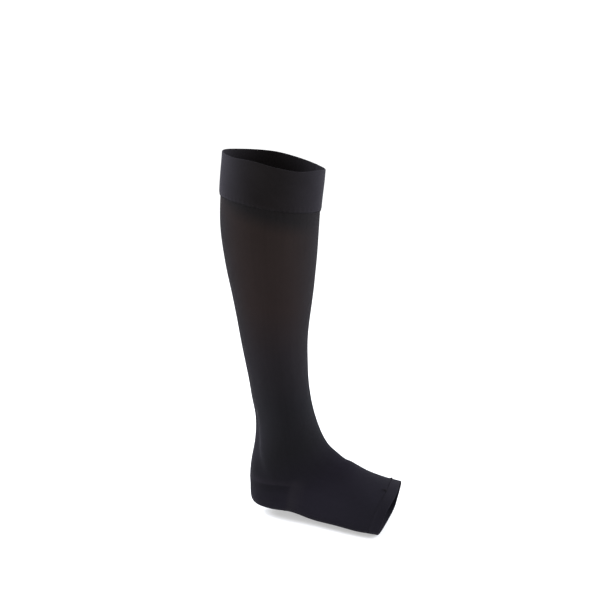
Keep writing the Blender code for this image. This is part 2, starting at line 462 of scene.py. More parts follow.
# painted sheen: the band's front and back are lighter in the yarn's colour
BAND_EDGE_PAINTED_SHEEN = rgb(0.0146, 0.0128, 0.0160)   # front and back of the band
HEM_YARN = rgb(0.0132, 0.0121, 0.0170)
SEAM_THREAD = (rgb(0.0050, 0.0046, 0.0052), rgb(0.0095, 0.0085, 0.0100))
FOOT_THREAD = (rgb(0.0100, 0.0090, 0.0130), rgb(0.0150, 0.0138, 0.0190))
SHEEN_TINT = rgb(0.88, 0.86, 1.0)
GAP_SHADE = 0.42                               # between the loops, as a share of the yarn's colour
BACK_SHIFT = 0.06                              # in turns, of the back's tone to the outer side

print("wales to the centimetre at the top edge, the shin and the ankle:",
      [round(WALES / girths[name] * 10, 1) for name in ("top edge", "shin", "ankle")])


# %% Cloth and where a point lies on it
def cloth_material(name, roughness, specular, sheen, sheen_roughness=0.3):
    """A new material with its constant gloss and nap set, and its tree and shader to wire up."""
    material = bpy.data.materials.new(name)
    material.use_nodes = True
    shader = material.node_tree.nodes["Principled BSDF"]
    shader.inputs["Roughness"].default_value = roughness
    shader.inputs["Specular IOR Level"].default_value = specular
    shader.inputs["Sheen Weight"].default_value = sheen
    shader.inputs["Sheen Roughness"].default_value = sheen_roughness
    shader.inputs["Sheen Tint"].default_value = SHEEN_TINT
    return material, material.node_tree, shader


def connect(shader, name, wire):
    wire.socket.id_data.links.new(wire.socket, shader.inputs[name])


def place_in_knit(tree):
    """Turns round the tube and metres along it."""
    spot = Wire.add(tree, "ShaderNodeUVMap", {"uv_map": KNIT_MAP})
    turns = spot.node("ShaderNodeSeparateXYZ", {}, {0: spot})
    return turns, Wire(turns.socket.node.outputs[1])


def place_in_space(tree):
    """Object coordinates, which are the frame's, because every piece sits at its origin."""
    return Wire.add(tree, "ShaderNodeTexCoord", output=3)


def place_in_side_view(tree):
    """The frame's x and z, in metres."""
    spot = place_in_space(tree)
    x = spot.node("ShaderNodeSeparateXYZ", {}, {0: spot})
    return x, Wire(x.socket.node.outputs[2])


def unevenness(turns, along, columns, rows, detail=2.0):
    """Cloudy variation from 0 to 1, `columns` blotches round the tube and `rows` for each metre."""
    spot = turns.node("ShaderNodeCombineXYZ", {}, {0: turns * columns, 1: along * rows})
    return spot.noise(1.0, detail, "2D")


def front_or_back(turns):
    """1 down the front and the back of the tube, and 0 over its sides."""
    return 1 - (2 * (turns - BACK_SHIFT * turns.wave())).wave()


def above_gap(low, rise):
    """From `low` in the gaps between loops to 1 on their crests, as `rise` goes from 0 to 1."""
    return low + (1 - low) * rise


def bump(height, distance):
    return height.node("ShaderNodeBump", {},
                       {"Height": height, "Distance": distance, "Strength": 1.0})


print("shade of the yarn halfway up a loop:", round(above_gap(GAP_SHADE, 0.5), 2))

# %% Where the heel pocket lies
POCKET_CORNER = (26.8, -393.2)       # side view, x and z in mm: where both edges meet
POCKET_BACK = (-29.0, -393.2)        # upper edge, at the back of the heel
POCKET_BOTTOM = (20.1, -427.0)       # front edge, at the sole


def past_line(x, z, start, end):
    """Distance of a place from a line of the side view. Takes numbers, arrays or wires."""
    run, rise = (end[0] - start[0]) * MM, (end[1] - start[1]) * MM
    return ((x - start[0] * MM) * rise - (z - start[1] * MM) * run) * (1 / math.hypot(run, rise))


def pocket_edges(x, z):
    """How far a place lies under the pocket's upper edge, and behind its front edge."""
    return past_line(x, z, POCKET_BACK, POCKET_CORNER), past_line(x, z, POCKET_CORNER, POCKET_BOTTOM)


print("from both edges of the pocket, in mm, at the heel:",
      np.round(np.array(pocket_edges(0.0, -0.42)) / MM, 1))

# %% Tones of the jersey
# Four numbers say where a tone starts, is full, begins to fade and ends. Two say where there is
# nothing of it and where it is full.
CALF_SPAN = (0.04, 0.08, 0.20, 0.30)           # metres along the tube
TENDON_HIGHLIGHT_SPAN = (0.305, 0.330, 0.352, 0.368)
CALF_SHARE = 0.9                               # how far the calf's front and back take their tones
TONES_LATE = 0.022                             # how much further down the tones lie over the shin
LATE_FADES = (0.20, 0.10)                      # metres along
TONE_WANDER = 0.006                            # metres, as the cloudy variation shifts the tones
RIM_OVER_TOP = np.array((-0.5, 0.8, 1, 9)) * MM
RIM_BEFORE_FRONT = np.array((-3, 5, 4, 26)) * MM
RIM_TOP_ENDS = np.array((16, 2)) * MM          # before the front edge
RIM_FRONT_ENDS = np.array((12, 2)) * MM        # over the upper edge
RIM_TOP_SHARE = 0.75
RIM_STARTS = (0.355, 0.375)                    # metres along
SHADE_UNDER_TOP = np.array((-0.5, 2, 3, 14)) * MM
SHADE_BEHIND_FRONT = np.array((-2, 2)) * MM


def jersey_tone(turns, along, cloud):
    """The row of tones along the tube, with the calf's edges, painted shade at the calf's back and a
    painted highlight over the tendon.
    """
    late = TONES_LATE * (turns - 0.45).wave() * along.ramp(*LATE_FADES)
    tone = (along - late + TONE_WANDER * (cloud - 0.5)).tones(JERSEY_TONES)
    share = front_or_back(turns)
    at_edge = share * share
    # a colder black down the calf's front and back, with painted shade at the back
    calf_edge_tone_and_shade = turns.wave().blend(SHIN_YARN, CALF_BACK_PAINTED_SHADE)
    tone = (CALF_SHARE * at_edge * along.between(*CALF_SPAN)).blend(tone, calf_edge_tone_and_shade)
    # a painted highlight down the tendon, at the back edge
    return (at_edge * turns.wave() * along.between(*TENDON_HIGHLIGHT_SPAN)).blend(tone, TENDON_PAINTED_HIGHLIGHT)


def pocket_light_and_shade(under_top, behind_front, along):
    """How much painted light lies beside the heel pocket's edges, and how far the pocket is in painted
    shade.
    """
    over_top, before_front = 0 - under_top, 0 - behind_front
    near_top = over_top.between(*RIM_OVER_TOP) * before_front.ramp(*RIM_TOP_ENDS)
    near_front = before_front.between(*RIM_BEFORE_FRONT) * over_top.ramp(*RIM_FRONT_ENDS)
    # the painted light along both edges of the pocket
    beside = near_top.math("MAXIMUM", RIM_TOP_SHARE * near_top, near_front)
    shaded = under_top.between(*SHADE_UNDER_TOP) * behind_front.ramp(*SHADE_BEHIND_FRONT)
    return beside * along.ramp(*RIM_STARTS), shaded


print("the calf's front and back have tones of their own from", CALF_SPAN[0], "to", CALF_SPAN[-1], "m")

# %% Jersey of the leg and foot
LOOP_SLANT = 1.1                               # courses for the width of a wale
LOOP_DIP = 0.45                                # height of the yarn in the gaps
LOOP_RELIEF = 0.10 * MM
STREAKS = 90                                   # round the tube
JERSEY_SHADE = 0.83                            # shares of the yarn's colour
STREAK_SHADE = 0.14
CLOUD_SHADE = 0.20
POCKET_SHADE = 0.12
JERSEY_ROUGHNESS = 0.74                        # where it is smoothest
ROUGHNESS_RANGE = 0.14


def jersey_loops(turns, along):
    """Height of the loops, from 0 to 1: two slanting legs of yarn in each wale."""
    aside = ((turns * WALES).part_of_one() - 0.5).size()
    across_leg = (aside - 0.25) * 4
    leg = 1 - across_leg * across_leg
    return leg * above_gap(LOOP_DIP, (along * COURSES_PER_METRE + aside * LOOP_SLANT).wave())


def jersey_material():
    material, tree, shader = cloth_material("black jersey", JERSEY_ROUGHNESS, 0.03, 0.03)
    turns, along = place_in_knit(tree)
    height = jersey_loops(turns, along)
    streak = unevenness(turns, along, columns=STREAKS, rows=6.0)
    cloud = unevenness(turns, along, columns=5.0, rows=14.0, detail=3.0)
    tone = jersey_tone(turns, along, cloud)
    pocket_rim_light, in_shade = pocket_light_and_shade(*pocket_edges(*place_in_side_view(tree)), along)
    # painted light beside the pocket's edges, and painted shade inside it below
    tone = pocket_rim_light.blend(tone, POCKET_RIM_PAINTED_LIGHT)
    shade = JERSEY_SHADE + STREAK_SHADE * streak + CLOUD_SHADE * cloud
    shade = shade * (1 - POCKET_SHADE * in_shade)
    connect(shader, "Base Color", tone.shaded(shade * above_gap(GAP_SHADE, height)))
    connect(shader, "Roughness", JERSEY_ROUGHNESS + ROUGHNESS_RANGE * cloud)
    connect(shader, "Normal", bump(height, LOOP_RELIEF))
    return material


jersey = jersey_material()
print("black jersey:", len(jersey.node_tree.nodes), "nodes")

# %% Ribs of the band and the hem
ROW_DIP = 0.55                   # height of a rib between the rows
RIB_SHADE = 0.80                 # shares of the yarn's colour
RIB_CLOUD = 0.40
BAND_RELIEF = 0.10 * MM
HEM_RELIEF = 0.08 * MM


def ribbed_material(name, yarn, edge_yarn_and_sheen, ribs, rows_per_metre, relief, sheen):
    """Close upright ribs crossed by the rows of the covered rubber yarn."""
    material, tree, shader = cloth_material(name, 0.84, 0.03, sheen, 0.45)
    turns, along = place_in_knit(tree)
    height = (turns * ribs).wave() * above_gap(ROW_DIP, (along * rows_per_metre).wave())
    cloud = unevenness(turns, along, columns=7.0, rows=40.0, detail=3.0)
    shade = (RIB_SHADE + RIB_CLOUD * cloud) * above_gap(GAP_SHADE, height)
    # the front and back take the edge colour: a painted sheen on the band, the plain yarn on the hem
    connect(shader, "Base Color", front_or_back(turns).blend(yarn, edge_yarn_and_sheen).shaded(shade))
    connect(shader, "Normal", bump(height, relief))
    return material


elastic = ribbed_material("elastic band", BAND_YARN, BAND_EDGE_PAINTED_SHEEN, BAND_RIBS,
                          BAND_ROWS_PER_METRE, BAND_RELIEF, sheen=0.06)
hem_knit = ribbed_material("toe hem", HEM_YARN, HEM_YARN, WALES,
                           COURSES_PER_METRE, HEM_RELIEF, sheen=0.03)
print(elastic.name, "and", hem_knit.name, "ready")

# %% Thread and the light table
FLUFF_SCALE = 2500.0
FLUFF_RELIEF = 0.05 * MM
FLOOR_GLOW = 0.42                # so that the shadow under the sole stays faint


def thread_material(name, low, high):
    material, tree, shader = cloth_material(name, 0.70, 0.08, 0.03)
    fluff = place_in_space(tree).noise(FLUFF_SCALE, detail=2.0)
    connect(shader, "Base Color", fluff.blend(low, high))
    connect(shader, "Normal", bump(fluff, FLUFF_RELIEF))
    return material


def light_table_material():
    material, tree, shader = cloth_material("pale floor", 0.9, 0.0, 0.0)
    cloud = place_in_space(tree).noise(1.5, detail=2.0)
    connect(shader, "Base Color", cloud.blend(grey(0.60), grey(0.62)))
    shader.inputs["Emission Color"].default_value = grey(1.0)
    shader.inputs["Emission Strength"].default_value = FLOOR_GLOW
    return material


thread = thread_material("sewing thread", *SEAM_THREAD)
foot_thread = thread_material("foot thread", *FOOT_THREAD)
floor.data.materials.append(light_table_material())
print("materials:", [material.name for material in bpy.data.materials])

# %% [markdown]
# ## Walls of cloth
#
# Each knitted piece is one closed wall: down the outside, round the cut or folded edge, up the
# inside and round the other edge. Solidify would make such a wall from a single sheet, but its rims
# are flat, and a knitted edge is round, which shows at both openings. So the wall is drawn as a
# profile, a closed loop of distances along the tube and heights over the form, and the profile is
# carried round the tube. The result has no open edge anywhere and needs no cap.

# %% Profile and tube
EDGE_STEPS = 6


def wall_profile(along, lift, wall):
    """The closed cut edge of a wall: its outer side as distances and heights from top to bottom,
    and its thickness at each of them."""
    wall = np.broadcast_to(wall, along.shape)
    round_end = np.linspace(0, np.pi, EDGE_STEPS + 1)[1:-1]
    bulge, fall = np.sin(round_end) / 2, (1 - np.cos(round_end)) / 2
    way = np.concatenate((along, along[-1] + wall[-1] * bulge,
                          along[::-1], along[0] - wall[0] * bulge))
    height = np.concatenate((lift, lift[-1] - wall[-1] * fall, (lift - wall)[::-1],
                             lift[0] - wall[0] * (1 - fall)))
    return way, height


def cut_profile(rows, steps, start=0.0):
    """The profile of a wall from rows of (mm past `start`, height outside, height inside)."""
    place, outer, inner = np.array(rows).T * MM
    along = np.unique(np.concatenate((place, np.linspace(place[0], place[-1], steps))))
    outer, inner = np.interp(along, place, outer), np.interp(along, place, inner)
    return wall_profile(start + along, outer, outer - inner)


def even_turns(along, sides, steps=720):
    """Where to place `sides` points round the tube so that each ring's girth is shared evenly."""
    turns = np.linspace(0, 1, steps + 1)
    rings = form_point(along[:, None], turns)
    travelled = np.cumsum(np.linalg.norm(np.diff(rings, axis=1), axis=-1), axis=1)
    shares = np.hstack((np.zeros((len(along), 1)), travelled / travelled[:, -1:]))
    return np.stack([np.interp(np.arange(sides) / sides, share, turns) for share in shares], axis=1)


def cloth_tube(name, profile, sides, material, relief=None):
    """Carries a closed profile round the form. `relief` gives extra height from along, around and
    the place in space."""
    along, lift = profile
    around_grid = even_turns(along, sides)
    along_grid = np.broadcast_to(along, around_grid.shape)
    places = form_point(along_grid, around_grid)
    out = directions(along_grid, around_grid)[2]
    lift_grid = np.broadcast_to(lift, along_grid.shape)
    if relief is not None:
        lift_grid = lift_grid + relief(along_grid, around_grid, places)
    places = places + out * lift_grid[..., None]
    return grid_mesh(name, places, along, material)


def grid_mesh(name, places, along, material):
    """A mesh closed both ways: `places` is indexed round the tube, then round the profile."""
    sides, steps = places.shape[:2]
    side, step = (index.ravel() for index in np.mgrid[0:sides, 0:steps])
    next_side, next_step = (side + 1) % sides, (step + 1) % steps
    corners = np.stack((side * steps + step, side * steps + next_step,
                        next_side * steps + next_step, next_side * steps + step), axis=-1)
    mesh = bpy.data.meshes.new(name)
    mesh.from_pydata(places.reshape(-1, 3).tolist(), [], corners.tolist())
    turns = np.stack((side, side, side + 1, side + 1), axis=-1) / sides
    metres = np.stack((along[step], along[next_step], along[next_step], along[step]), axis=-1)
    knit_map = mesh.uv_layers.new(name=KNIT_MAP)
    knit_map.data.foreach_set("uv", np.stack((turns, metres), axis=-1).ravel())
    mesh.shade_smooth()
    mesh.materials.append(material)
    print(f"{name}: {2 * len(corners)} triangles")
    return link(bpy.data.objects.new(name, mesh))


sample = wall_profile(np.array([0, 0.01]), np.zeros(2), 1 * MM)
print("points in the profile of a short wall:", len(sample[0]))

# %% [markdown]
# ## The leg and foot
#
# The knit is stretched over its form, so there are no folds to drape. What light finds on it is
# small: a soft hollow on each side of the ankle's back, where cloth spans from the tendon to the
# ankle, 3 mm deep at most; low swells where it rounds the foot of the calf and the heel; the heel
# pocket, knitted to and fro as a little cap with its own edge; fine gathers just under the band,
# where the wide top is sewn to a stiffer strip; and a faint unevenness all over. The last three are
# only tenths of a millimetre. Each is a height, and their sum is added to the wall's points.

# %% Hollows beside the tendon
LEG_TOP = 44.0 * MM
HEM_WIDTH = 12.0 * MM
SEAM_GAP = 0.3 * MM
LEG_WALL = 1.0 * MM
LEG_TOE_WALL = 0.5 * MM      # where the toe seam presses it
HOLLOWS = (
    # metres along, its floor in turns from the back, depth in mm
    (0.275, 0.062, 0.0),
    (0.305, 0.069, 1.3),
    (0.326, 0.077, 2.6),
    (0.344, 0.100, 3.0),
    (0.362, 0.150, 2.0),
    (0.386, 0.215, 0.0),
)
HOLLOW_TO_ANKLE = 0.026      # half widths in turns: the side towards the ankle is the steeper
HOLLOW_TO_BACK = 0.036
HOLLOW_SHARE = (1.0, 0.85)   # outer side, inner side


def hollows(along, around):
    stations, place, depth = np.array(HOLLOWS).T
    place, depth = np.interp(along, stations, place), np.interp(along, stations, depth)
    height = 0.0
    for side, share in zip((1, -1), HOLLOW_SHARE):
        past_floor = side * (around - 0.5) - place
        half_width = np.where(past_floor > 0, HOLLOW_TO_ANKLE, HOLLOW_TO_BACK)
        height = height - share * depth * MM * bell(past_floor, half_width)
    return height


# %% Swells at the back
SWELLS = (
    # metres along, turns, height in mm, half width in metres along and in turns
    (0.290, 0.52, 1.0, 0.016, 0.07),      # foot of the calf
    (0.366, 0.53, 0.7, 0.012, 0.08),      # top of the heel
    (0.405, 0.53, 1.7, 0.013, 0.11),      # back corner of the heel
)


def swells(along, around):
    """Low swells where the cloth rounds the end of the calf and the heel."""
    return sum(height * MM * bell(along - spot, length) * bell(around - place, width)
               for spot, place, height, length, width in SWELLS)


print("swells at the back, in mm:", [row[2] for row in SWELLS])

# %% Heel pocket
POCKET_THICKER = 0.16 * MM
POCKET_EDGE = 0.12 * MM           # the tight loops stand above the pocket
POCKET_EDGE_WIDTH = 1.4 * MM
POCKET_RISE = 0.8 * MM            # either side of the edge


def inside_pocket(places):
    """How far inside the heel pocket's edges a point lies, in metres; outside it is negative."""
    return np.minimum(*pocket_edges(places[..., 0], places[..., 2]))


def pocket(places):
    inside = inside_pocket(places)
    return (POCKET_THICKER * eased(inside, -POCKET_RISE, POCKET_RISE)
            + POCKET_EDGE * bell(inside, POCKET_EDGE_WIDTH))


probe = np.array([[0.0, 0, -0.42], [0.06, 0, -0.42], [0.0, 0, -0.36]])
print("inside the pocket, in mm, at the heel, the arch and the ankle:",
      np.round(inside_pocket(probe) / MM, 1))

# %% Gathers and unevenness
BAND_END = 50.0 * MM              # where the band's lower edge lies
GATHERS = 34                      # round the tube
GATHER_DEPTH = 0.30 * MM
GATHER_LENGTH = 9.0 * MM
UNEVEN = 0.10 * MM


def gathers(along, around):
    """Fine upright creases that die out below the band, inwards only."""
    turn = 2 * np.pi * around
    uneven = 0.6 + 0.4 * np.sin(3 * turn + 1.0) * np.sin(7 * turn)
    crease = 0.5 - 0.5 * np.cos(GATHERS * turn + 1.5 * np.sin(5 * turn))
    length = GATHER_LENGTH * (0.7 + 0.3 * np.sin(4 * turn))
    return -GATHER_DEPTH * uneven * crease * (1 - eased(along, BAND_END, BAND_END + length))


def unevenness_of_wall(along, around):
    """Three slanting waves that cross; their slants are in radians for each metre."""
    turn = 2 * np.pi * around
    return UNEVEN * (np.sin(2 * turn + 31 * along) * np.sin(60 * along + 1)
                     + 0.6 * np.sin(5 * turn - 47 * along + 2) * np.sin(95 * along)
                     + 0.4 * np.sin(9 * turn + 120 * along))


print("height of the deepest gather, in mm:",
      np.round(gathers(np.array(BAND_END), np.linspace(0, 1, 721)).min() / MM, 2))

# %% Leg and foot
LEG_SIDES = 180
LEG_END = LENGTH - HEM_WIDTH - SEAM_GAP
LEG_STEPS = (
    # from, to, rings: closer together over the heel
    (LEG_TOP, 0.360, 130),
    (0.360, 0.455, 76),
    (0.455, LEG_END, 28),
)
EVEN_UNDER_BAND = 6 * MM         # of tube below the band, over which the unevenness comes in
TOE_PRESSED = 2 * MM             # of tube that the toe seam presses thinner


def leg_relief(along, around, places):
    free = eased(along, BAND_END, BAND_END + EVEN_UNDER_BAND)
    return (hollows(along, around) + swells(along, around) + pocket(places) + gathers(along, around)
            + free * unevenness_of_wall(along, around))


rings = [np.linspace(start, end, count, endpoint=False) for start, end, count in LEG_STEPS]
leg_along = np.concatenate(rings + [[LEG_END - LEG_TOE_WALL / 2]])
leg_along[0] += LEG_WALL / 2
pressed = eased(leg_along, leg_along[-1] - TOE_PRESSED, leg_along[-1])
leg_wall = LEG_WALL - (LEG_WALL - LEG_TOE_WALL) * pressed
leg_profile = wall_profile(leg_along, np.zeros_like(leg_along), leg_wall)
leg_knit = cloth_tube("leg_knit", leg_profile, LEG_SIDES, jersey, leg_relief)

# %% [markdown]
# ## The elastic band
#
# A strip of covered rubber yarn, 5 cm wide, is sewn over the leg's top edge. Being stiffer than the
# leg it stands a little proud, keeps an even crown between its edges, and its lower edge bites
# where the seam holds it. Its ends meet in one upright seam on the inner side. It is drawn with the
# same wall as the leg; only its profile and its height differ.

# %% Band
BAND_CUT = (
    # mm from the top edge, height of the outer side, height of the inner side
    (0.6, 1.50, 0.30),
    (46.5, 1.50, 0.30),
    (49.0, 0.95, -0.05),
    (49.8, 0.55, -0.15),
)
BAND_CROWN = 0.20 * MM
BAND_WAVE = 0.30 * MM
BAND_RIPPLE = 0.16 * MM
BAND_SIDES = 360
BAND_STEPS = 40
BAND_SEAM_PLACE = 0.125          # turns from the front, towards the inner side
BAND_SEAM_WIDTH = 2.2 * MM
BAND_SEAM_HEIGHT = 0.45 * MM
STITCH_LINE = 1.1 * MM           # from the band's lower edge
STITCH_BITE = 0.05 * MM          # how far the seam draws the band in
BITE_WIDTH = 1.3 * MM
PUCKERS = 58                     # round the tube
PUCKER_HEIGHT = 0.10 * MM
PUCKER_LENGTH = 6 * MM

band_girth = girth_at(0.025)


def band_relief(along, around, places):
    turn = 2 * np.pi * around
    crown = BAND_CROWN * np.sin(np.pi * np.clip(along / BAND_END, 0, 1))
    seam = BAND_SEAM_HEIGHT * bell((around - BAND_SEAM_PLACE) * band_girth, BAND_SEAM_WIDTH)
    bite = -STITCH_BITE * bell(along - (BAND_END - STITCH_LINE), BITE_WIDTH)
    soft = (BAND_WAVE * np.sin(3 * turn + 40 * along) * np.sin(60 * along + 1)
            + BAND_RIPPLE * np.sin(8 * turn - 90 * along))
    puckers = PUCKER_HEIGHT * np.sin(PUCKERS * turn) * bell(along - BAND_END, PUCKER_LENGTH)
    return crown + seam + bite + soft + puckers


band_profile = cut_profile(BAND_CUT, BAND_STEPS)
top_band = cloth_tube("top_band_knit", band_profile, BAND_SIDES, elastic, band_relief)

# %% [markdown]
# ## The hem at the toes
#
# The open toe ends in a narrow doubled hem. Its free edge rolls very slightly outwards. Where it
# meets the foot its inner layer runs on under the knit for a little, and the seam holds both.

# %% Hem
HEM_START = LENGTH - HEM_WIDTH
HEM_CUT = (
    # mm past the seam, height of the outer side, height of the inner side
    (-1.4, -0.62, -1.10),
    (-0.3, -0.62, -1.12),
    (0.1, -0.02, -1.15),
    (2.5, 0.33, -1.25),
    (11.2, 0.35, -1.25),
)
HEM_SIDES = 260
HEM_STEPS = 14
HEM_ROLL = 0.25 * MM
HEM_ROLL_WIDTH = 3 * MM
HEM_TUCK = 0.06 * MM
HEM_TUCK_WIDTH = 1.2 * MM


def hem_relief(along, around, places):
    roll = HEM_ROLL * bell(along - LENGTH, HEM_ROLL_WIDTH)
    tuck = -HEM_TUCK * bell(along - HEM_START, HEM_TUCK_WIDTH)
    return roll + tuck + unevenness_of_wall(along, around)


hem_profile = cut_profile(HEM_CUT, HEM_STEPS, HEM_START)
toe_hem = cloth_tube("toe_hem_knit", hem_profile, HEM_SIDES, hem_knit, hem_relief)

# %% [markdown]
# ## Sewing
#
# A seam is one small shape repeated along a line, which is what Geometry Nodes are for. The line is
# a chain of points on the cloth, and each point stores the way out of the cloth as an attribute.
# The tree turns the chain into a curve, spaces points along it, and sets one bent bit of thread on
# each, lying along the seam and facing out. Every second stitch can lean the other way, which makes
# a straight row into a zigzag.

# %% Stitch tree
OUT = "out"                      # the attribute with the way out of the cloth
WOBBLE = 0.10                    # radians either way
SIZE_RANGE = (0.93, 1.07)
BOW_STEPS = 4
THREAD_SIDES = 6
STITCH_INPUTS = (
    ("Spacing", "NodeSocketFloat"),
    ("Stitch length", "NodeSocketFloat"),
    ("Thread radius", "NodeSocketFloat"),
    ("Rise", "NodeSocketFloat"),
    ("Lean", "NodeSocketFloat"),
    ("Seed", "NodeSocketInt"),
    ("Thread", "NodeSocketMaterial"),
)


def stitch_tree():
    tree = bpy.data.node_groups.new("stitches along a seam", "GeometryNodeTree")
    tree.interface.new_socket("Geometry", in_out="INPUT", socket_type="NodeSocketGeometry")
    for title, kind in STITCH_INPUTS:
        tree.interface.new_socket(title, in_out="INPUT", socket_type=kind)
    tree.interface.new_socket("Geometry", in_out="OUTPUT", socket_type="NodeSocketGeometry")
    given = tree.nodes.new("NodeGroupInput")

    def node(kind, settings=None, sockets=None):
        return Wire.add(tree, kind, settings, sockets).socket.node

    def value(title):
        return Wire(given.outputs[title])

    line = node("GeometryNodeMeshToCurve", {}, {"Mesh": value("Geometry")})
    spaced = node("GeometryNodeResampleCurve", {"mode": "LENGTH"},
                  {"Curve": Wire(line.outputs[0]), "Length": value("Spacing")})
    out = node("GeometryNodeInputNamedAttribute", {"data_type": "FLOAT_VECTOR"}, {"Name": OUT})
    tangent = node("GeometryNodeInputTangent")
    facing = node("FunctionNodeAxesToRotation", {"primary_axis": "Z", "secondary_axis": "X"},
                  {"Primary Axis": Wire(out.outputs[0]), "Secondary Axis": Wire(tangent.outputs[0])})
    index = Wire(node("GeometryNodeInputIndex").outputs[0])
    side = index.math("MODULO", index, 2.0) * 2 - 1
    wobble = node("FunctionNodeRandomValue", {"data_type": "FLOAT"},
                  {2: -WOBBLE, 3: WOBBLE, "Seed": value("Seed")})
    lean = side * value("Lean") + Wire(wobble.outputs[1])
    turn = node("ShaderNodeCombineXYZ", {}, {"Z": lean})
    turned = node("FunctionNodeRotateRotation", {"rotation_space": "LOCAL"},
                  {0: Wire(facing.outputs[0]), 1: Wire(turn.outputs[0])})
    size = node("FunctionNodeRandomValue", {"data_type": "FLOAT"},
                {2: SIZE_RANGE[0], 3: SIZE_RANGE[1], "Seed": value("Seed") + 1})
    end = value("Stitch length") / 2
    sink = 0 - value("Thread radius")
    start_point = node("ShaderNodeCombineXYZ", {}, {"X": 0 - end, "Z": sink})
    top_point = node("ShaderNodeCombineXYZ", {}, {"Z": value("Rise")})
    end_point = node("ShaderNodeCombineXYZ", {}, {"X": end, "Z": sink})
    bow = node("GeometryNodeCurveQuadraticBezier", {},
               {"Resolution": BOW_STEPS, "Start": Wire(start_point.outputs[0]),
                "Middle": Wire(top_point.outputs[0]), "End": Wire(end_point.outputs[0])})
    ring = node("GeometryNodeCurvePrimitiveCircle", {"mode": "RADIUS"},
                {"Resolution": THREAD_SIDES, "Radius": value("Thread radius")})
    stitch = node("GeometryNodeCurveToMesh", {},
                  {"Curve": Wire(bow.outputs[0]), "Profile Curve": Wire(ring.outputs[0]),
                   "Fill Caps": True})
    placed = node("GeometryNodeInstanceOnPoints", {},
                  {"Points": Wire(spaced.outputs[0]), "Instance": Wire(stitch.outputs[0]),
                   "Rotation": Wire(turned.outputs[0]), "Scale": Wire(size.outputs[1])})
    real = node("GeometryNodeRealizeInstances", {}, {"Geometry": Wire(placed.outputs[0])})
    smooth = node("GeometryNodeSetShadeSmooth", {}, {"Geometry": Wire(real.outputs[0])})
    coloured = node("GeometryNodeSetMaterial", {},
                    {"Geometry": Wire(smooth.outputs[0]), "Material": value("Thread")})
    taken = tree.nodes.new("NodeGroupOutput")
    tree.links.new(coloured.outputs[0], taken.inputs[0])
    return tree


stitches = stitch_tree()
print("stitch tree:", len(stitches.nodes), "nodes")


# %% A seam
def seam_line(name, along, around, lift, closed):
    """A chain of points over the cloth, each with the way out of it."""
    out = directions(along, around)[2]
    places = form_point(along, around) + out * np.asarray(lift)[..., None]
    count = len(places)
    links = [(i, (i + 1) % count) for i in range(count if closed else count - 1)]
    mesh = bpy.data.meshes.new(name)
    mesh.from_pydata(places.tolist(), links, [])
    mesh.attributes.new(OUT, "FLOAT_VECTOR", "POINT").data.foreach_set("vector", out.ravel())
    return link(bpy.data.objects.new(name, mesh))


def sew(line, **inputs):
    """Runs the stitch tree on a seam line and keeps the result as a plain mesh."""
    modifier = line.modifiers.new("stitches", "NODES")
    modifier.node_group = stitches
    for socket in stitches.interface.items_tree:
        title = socket.name.replace(" ", "_")
        if socket.in_out == "INPUT" and title in inputs:
            modifier[socket.identifier] = inputs[title]
    shown = line.evaluated_get(bpy.context.evaluated_depsgraph_get())
    sewn = bpy.data.meshes.new_from_object(shown)
    line.modifiers.clear()
    bare = line.data
    line.data = sewn
    bpy.data.meshes.remove(bare)
    sewn.name = line.name
    print(f"{line.name}: {len(sewn.polygons)} faces")
    return line


# %% Seam round the band's lower edge
LINE_POINTS = 720
BAND_STITCH_LIFT = 0.90 * MM     # just inside the band's outer side
turns_round = np.arange(LINE_POINTS) / LINE_POINTS
stitch_along = np.full(LINE_POINTS, BAND_END - STITCH_LINE)
stitch_lift = BAND_STITCH_LIFT + band_relief(stitch_along, turns_round, None)
band_line = seam_line("band_stitches", stitch_along, turns_round, stitch_lift, True)
band_stitches = sew(band_line, Spacing=1.30 * MM, Stitch_length=2.5 * MM,
                    Thread_radius=0.19 * MM, Rise=0.30 * MM, Lean=math.radians(58),
                    Seed=3, Thread=thread)

# %% Upright seam of the band
UPRIGHT_POINTS = 60
UPRIGHT_MARGIN = 1.5 * MM        # from each edge of the band
UPRIGHT_PROUD = 0.05 * MM        # of the seam line; both ends of a stitch sink into the cloth
upright_along = np.linspace(UPRIGHT_MARGIN, BAND_END - UPRIGHT_MARGIN, UPRIGHT_POINTS)
upright_turns = np.full(UPRIGHT_POINTS, BAND_SEAM_PLACE)
band_outside = BAND_CUT[0][1] * MM + band_relief(upright_along, upright_turns, None)
upright_line = seam_line("band_seam_stitches", upright_along, upright_turns,
                         band_outside + UPRIGHT_PROUD, False)
band_seam_stitches = sew(upright_line, Spacing=1.25 * MM, Stitch_length=3.3 * MM,
                         Thread_radius=0.18 * MM, Rise=0.30 * MM, Lean=math.radians(66),
                         Seed=5, Thread=thread)

# %% Seam of the toe hem
TOE_STITCH_BITE = 0.02 * MM
toe_seam_along = np.full(LINE_POINTS, HEM_START)
toe_seam_lift = unevenness_of_wall(toe_seam_along, turns_round) - TOE_STITCH_BITE
toe_line = seam_line("toe_stitches", toe_seam_along, turns_round, toe_seam_lift, True)
toe_stitches = sew(toe_line, Spacing=1.35 * MM, Stitch_length=2.3 * MM,
                   Thread_radius=0.17 * MM, Rise=0.25 * MM, Lean=math.radians(60),
                   Seed=7, Thread=foot_thread)

# %% [markdown]
# ## Marks of the heel pocket
#
# Where the pocket was knitted to and fro, its edge shows a row of small tight loops, one for every
# second course. They are the same stitches again, short and leaning less. The line itself is
# where the pocket's edge crosses the wall: for each place round the tube, the distance along it at
# which a point comes inside the pocket.

# %% Pocket edge
MARK_TURNS = np.linspace(0.225, 0.775, 221)     # over the back, from side to side
SEARCH_FROM, SEARCH_TO = 0.350, 0.4045          # metres along: above the pocket, and in the heel
HALVINGS = 24
EDGE_TOLERANCE = 0.1 * MM
MARK_BITE = 0.05 * MM


